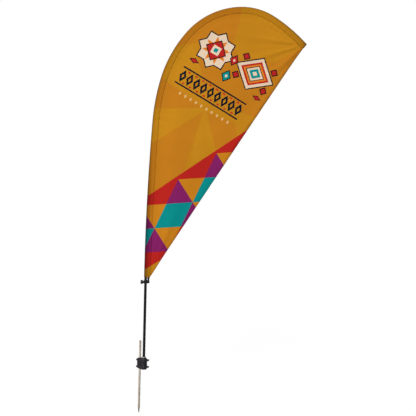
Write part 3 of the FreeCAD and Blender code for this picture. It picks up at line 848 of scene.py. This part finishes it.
def plastic_material(name, colour, rough=(0.42, 0.58), grain=1400.0, wear_and_highlight=0.35, spec=0.5, dust=0.0):
    m = Nodes(name)
    v = m.coords()
    fine = m.noise(grain, v, 3.0)
    big = m.noise(60.0, v, 4.0)
    geo = m.new("ShaderNodeNewGeometry")
    # convex edges lightened towards grey: rubbed edges, partly a painted highlight on them
    edge = m.ramp(geo.outputs["Pointiness"], 0.505, 0.56, 0.0, wear_and_highlight)
    edge_wear_and_highlight = m.math("MULTIPLY", edge, m.ramp(big, 0.35, 0.65, 0.2, 1.0))
    tint = m.mix(m.ramp(big, 0.3, 0.7, 0.0, 1.0), tuple(c * 0.82 for c in colour), tuple(c * 1.22 for c in colour))
    if dust:
        rub = m.math("MULTIPLY", m.ramp(m.noise(190.0, v, 5.0), 0.40, 0.72, 0.0, dust), m.ramp(fine, 0.3, 0.7, 0.5, 1.0))
        tint = m.mix(rub, tint, (0.105, 0.092, 0.110))
    m.to("Base Color", m.mix(edge_wear_and_highlight, tint, (0.16, 0.155, 0.16)))
    m.to("Roughness", m.ramp(big, 0.25, 0.75, *rough))
    m.to("Normal", m.bump(fine, 0.0003, 0.25))
    m.set(Specular_IOR_Level=spec)
    return m.mat


def metal_material(name, colour, rough=(0.26, 0.42), along=(1, 1, 0.02), dirt=None, metallic=1.0, spec=0.5):
    m = Nodes(name)
    lines = m.noise(900.0, m.coords(along), 4.0, 0.6)
    big = m.noise(45.0, m.coords(), 4.0)
    tint = m.mix(m.ramp(big, 0.3, 0.7, 0.0, 1.0), tuple(c * 0.86 for c in colour), tuple(min(1, c * 1.08) for c in colour))
    streak = m.ramp(lines, 0.3, 0.7, 0.90, 1.06)
    grey = m.new("ShaderNodeCombineColor")
    for k in range(3):
        m.link(streak, grey.inputs[k])
    base = m.mix(1.0, tint, grey.outputs[0], "MULTIPLY")
    roughness = m.ramp(m.math("ADD", m.math("MULTIPLY", big, 0.5), m.math("MULTIPLY", lines, 0.5)), 0.3, 0.7, *rough)
    if dirt is not None:
        sep = m.new("ShaderNodeSeparateXYZ")
        m.link(m.coords(), sep.inputs[0])
        low_, high_ = dirt
        height = m.math("ADD", sep.outputs[2], m.math("MULTIPLY", m.noise(90.0, m.coords(), 3.0), 0.05))
        fac = m.ramp(height, low_, high_, 0.55, 0.0)
        speck = m.math("MULTIPLY", fac, m.ramp(m.noise(260.0, m.coords(), 4.0), 0.46, 0.62, 0.0, 1.0))
        base = m.mix(speck, base, (0.17, 0.115, 0.07))
        roughness = m.math("ADD", roughness, m.math("MULTIPLY", speck, 0.5))
        # darker at the driven end and at the point
        z = sep.outputs[2]
        end = m.math("MAXIMUM", m.ramp(z, 0.168, 0.180, 0.0, 0.65), m.ramp(z, -0.246, -0.222, 0.88, 0.0))
        base = m.mix(m.ramp(z, -0.235, -0.02, 0.60, 0.0), base, (0.52, 0.43, 0.28))
        base = m.mix(end, base, (0.08, 0.070, 0.055))
    m.to("Base Color", base)
    m.to("Roughness", roughness)
    m.to("Normal", m.bump(lines, 0.0002, 0.12))
    m.set(Metallic=metallic, Specular_IOR_Level=spec)
    return m.mat


def webbing_material(name, colour):
    m = Nodes(name)
    out = []
    for scale, rot in (((900, 900, 900), (0, math.radians(45), 0)), ((900, 900, 900), (0, math.radians(-45), 0))):
        w = m.new("ShaderNodeTexWave", wave_type="BANDS", bands_direction="X", wave_profile="SIN")
        w.inputs["Scale"].default_value = 1.0
        m.link(m.coords(scale, rot), w.inputs["Vector"])
        out.append(w.outputs["Fac"])
    weave = m.math("MAXIMUM", out[0], out[1])
    m.to("Base Color", m.mix(m.ramp(weave, 0.2, 1.0, 0.0, 1.0), tuple(c * 0.6 for c in colour), tuple(c * 1.7 for c in colour)))
    m.to("Roughness", m.ramp(m.noise(500.0, m.coords(), 2.0), 0.2, 0.8, 0.60, 0.82))
    m.to("Normal", m.bump(weave, 0.0004, 0.5))
    m.set(Specular_IOR_Level=0.15)
    return m.mat


def put(obj, mat):
    obj.data.materials.clear()
    obj.data.materials.append(mat)


CLOTH = cloth_material("printed_polyester")
THREAD = cloth_material("sewing_thread")
WEB = webbing_material("black_webbing", (0.0065, 0.0060, 0.0056))
BLACK = plastic_material("black_nylon", (0.0060, 0.0044, 0.0070), rough=(0.26, 0.40), wear_and_highlight=0.40, spec=0.42, dust=0.36)
KNOB = plastic_material("black_knob", (0.0045, 0.0038, 0.0042), rough=(0.32, 0.44), wear_and_highlight=0.08, spec=0.25)
COLLAR = plastic_material("black_collar", (0.0045, 0.0036, 0.0034), rough=(0.34, 0.48), wear_and_highlight=0.12, spec=0.25)
ACETAL = plastic_material("white_acetal", (0.72, 0.71, 0.67), rough=(0.3, 0.42), wear_and_highlight=0.0)
ROD = plastic_material("ground_fibre_rod", (0.028, 0.027, 0.026), rough=(0.3, 0.5), grain=700.0, wear_and_highlight=0.1)
RUBBER = plastic_material("rubber", (0.012, 0.012, 0.012), rough=(0.7, 0.85), wear_and_highlight=0.1)
STAKE = metal_material("zinc_plated_stake", (0.80, 0.69, 0.58), rough=(0.42, 0.58), dirt=(-0.253, -0.05))
BLACKED = metal_material("black_oxide", (0.030, 0.030, 0.033), rough=(0.34, 0.50), metallic=0.6)
ZINC = metal_material("zinc_plated", (0.72, 0.72, 0.73), rough=(0.24, 0.38), along=(1, 1, 0.15))
SPRING = metal_material("spring_steel", (0.20, 0.20, 0.21))
ANODISED = metal_material("black_anodised", (0.0060, 0.0048, 0.0036), rough=(0.34, 0.46), metallic=0.0, spec=0.2)
ALU = metal_material("mill_aluminium", (0.62, 0.62, 0.63))
BRASS = metal_material("brass", (0.62, 0.42, 0.17), along=(0.2, 1, 1))

for n_, m_ in {"ground_spike": STAKE, "bracket_front_half": BLACK, "bracket_rear_half": BLACK, "clamp_bolts": BLACKED,
               "clamp_washers": BLACKED, "clamp_nuts": BLACKED, "spindle_upper_bush": ACETAL, "spindle_lower_bush": ACETAL,
               "thrust_washer": ACETAL, "spindle": ZINC, "retaining_clip": SPRING, "mast_section_1": ANODISED,
               "mast_section_2": ANODISED, "mast_section_3": ROD, "mast_section_4": ROD, "mast_ferrule_1": ALU,
               "mast_ferrule_2": ALU, "mast_ferrule_3": ALU, "mast_tip_cap": RUBBER, "tension_collar": COLLAR,
               "collar_insert": BRASS, "screw_pad": ACETAL, "collar_screw": ZINC, "collar_knob": KNOB}.items():
    put(nodes[n_], m_)
for ob in (front, back, hem, patch):
    put(ob, CLOTH)
put(sleeve, CLOTH)
put(seam_thread, THREAD)
put(hem_thread, THREAD)
put(strap, WEB)
mod = sleeve.modifiers.new("thickness", "SOLIDIFY")
mod.thickness, mod.offset = 0.0004, -1.0

for ob, slot_ in ((sleeve, "pole_sleeve"), (front, "front_panel"), (back, "back_panel"), (hem, "leech_hem"),
                  (patch, "tip_pocket"), (seam_thread, "pole_sleeve"), (hem_thread, "leech_hem")):
    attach(ob, "mast")
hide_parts("pole_sleeve")
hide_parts("front_panel", "blackout_liner")
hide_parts("back_panel")
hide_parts("leech_hem")
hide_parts("tip_pocket")
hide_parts("tension_strap")
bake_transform(strap)


# ------------------------------------------------------------------ floor, light and camera
low_z = cad_box[0].z
me = bpy.data.meshes.new("floor")
me.from_pydata([(-60, -60, low_z - 0.0005), (60, -60, low_z - 0.0005), (60, 60, low_z - 0.0005), (-60, 60, low_z - 0.0005)],
               [], [(0, 1, 2, 3)])
floor = bpy.data.objects.new("floor", me)
scene.collection.objects.link(floor)
fm = Nodes("pale_floor")
fm.set(Base_Color=(0.10, 0.10, 0.10, 1.0), Roughness=0.9, Specular_IOR_Level=0.0,
       Emission_Color=(1.0, 1.0, 1.0, 1.0), Emission_Strength=0.94)
floor.visible_diffuse = False
floor.visible_glossy = False
put(floor, fm.mat)

world = bpy.data.worlds.new("studio")
world.use_nodes = True
wt = world.node_tree
wt.nodes.clear()
out = wt.nodes.new("ShaderNodeOutputWorld")
path = wt.nodes.new("ShaderNodeLightPath")
dim = wt.nodes.new("ShaderNodeBackground")
lit = wt.nodes.new("ShaderNodeBackground")
mix = wt.nodes.new("ShaderNodeMixShader")
dim.inputs[0].default_value = (1, 1, 1, 1)
# a brighter wall on the left of the studio and a darker one on the right
where_to = wt.nodes.new("ShaderNodeTexCoord")
split = wt.nodes.new("ShaderNodeSeparateXYZ")
side_light = wt.nodes.new("ShaderNodeMapRange")
for k_, v_ in (("From Min", -1.0), ("From Max", 1.0), ("To Min", 0.52), ("To Max", 0.13)):
    side_light.inputs[k_].default_value = v_
wt.links.new(where_to.outputs["Generated"], split.inputs[0])
wt.links.new(split.outputs[0], side_light.inputs["Value"])
wt.links.new(side_light.outputs["Result"], dim.inputs[1])
lit.inputs[0].default_value = (1, 1, 1, 1)
lit.inputs[1].default_value = 1.0
wt.links.new(path.outputs["Is Camera Ray"], mix.inputs[0])
wt.links.new(dim.outputs[0], mix.inputs[1])
wt.links.new(lit.outputs[0], mix.inputs[2])
wt.links.new(mix.outputs[0], out.inputs[0])
scene.world = world
sun = bpy.data.lights.new("key", "SUN")
sun.energy, sun.angle = 2.5, math.radians(20)
key = bpy.data.objects.new("key", sun)
scene.collection.objects.link(key)
key.rotation_mode = "QUATERNION"
key.rotation_quaternion = Vector((0.16, 0.88, -0.42)).to_track_quat("-Z", "Y")
key.location = (2, -3, 4)
scene.view_settings.view_transform = "Standard"

DIST = 5.5
ROLL = math.radians(1.3)
MM_PER_PX = 0.0060
cam_data = bpy.data.cameras.new("camera")
cam_data.sensor_width = 36.0
cam_data.lens = 36.0 * DIST / (416 * MM_PER_PX)
cam_data.clip_start, cam_data.clip_end = 0.1, 200.0
cam = bpy.data.objects.new("camera", cam_data)
scene.collection.objects.link(cam)
cr, sr = math.cos(ROLL), math.sin(ROLL)
cx, cz = (208 - 143.54) * MM_PER_PX, (370.7 - 208) * MM_PER_PX
where = Vector((MAST.x + cr * cx - sr * cz, MAST.y - DIST, sr * cx + cr * cz))
cam.matrix_world = Matrix(((cr, -sr, 0, where.x), (0, 0, -1, where.y), (sr, cr, 0, where.z), (0, 0, 0, 1)))
scene.camera = cam

bpy.context.view_layer.update()
